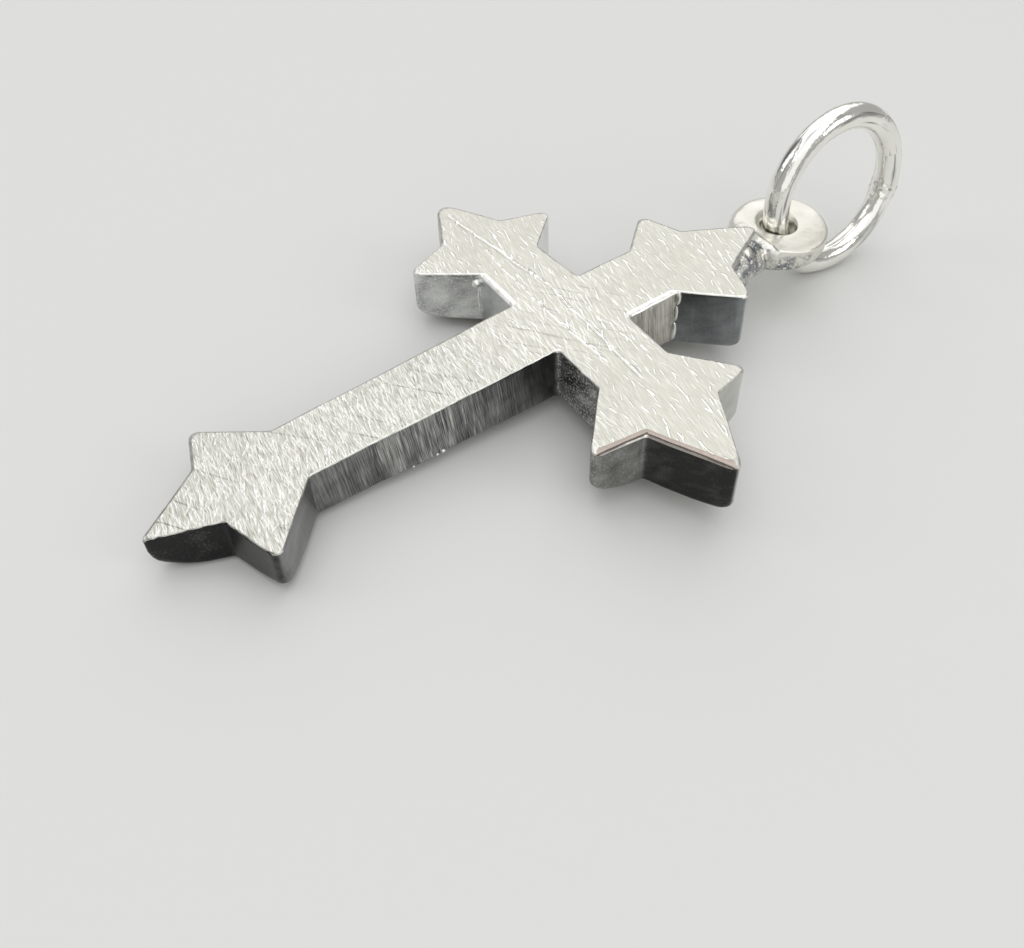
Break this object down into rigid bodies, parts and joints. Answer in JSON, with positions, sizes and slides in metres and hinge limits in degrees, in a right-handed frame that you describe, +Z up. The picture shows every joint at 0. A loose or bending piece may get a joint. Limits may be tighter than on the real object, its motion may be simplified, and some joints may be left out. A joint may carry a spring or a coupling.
{
  "type": "cross pendant",
  "caption": "Flat metal cross pendant whose arms end in pointed stars, with a soldered eyelet and a round jump ring, lying propped on the ring.",
  "frame": {"origin": "on the surface that the pendant lies on, under the middle of its box", "axes": "+Y from the foot of the cross towards its jump ring, +X along the cross's right arm, +Z up from the surface"},
  "size_m": [0.0172, 0.0328, 0.0069],
  "materials": {
    "satin_silver": "satin, with fine file scratches and darker walls",
    "polished_silver": "polished, slightly worn"
  },
  "bodies": {
    "root": {"cross": "satin_silver", "jump_ring": "polished_silver"}
  },
  "joints": []
}
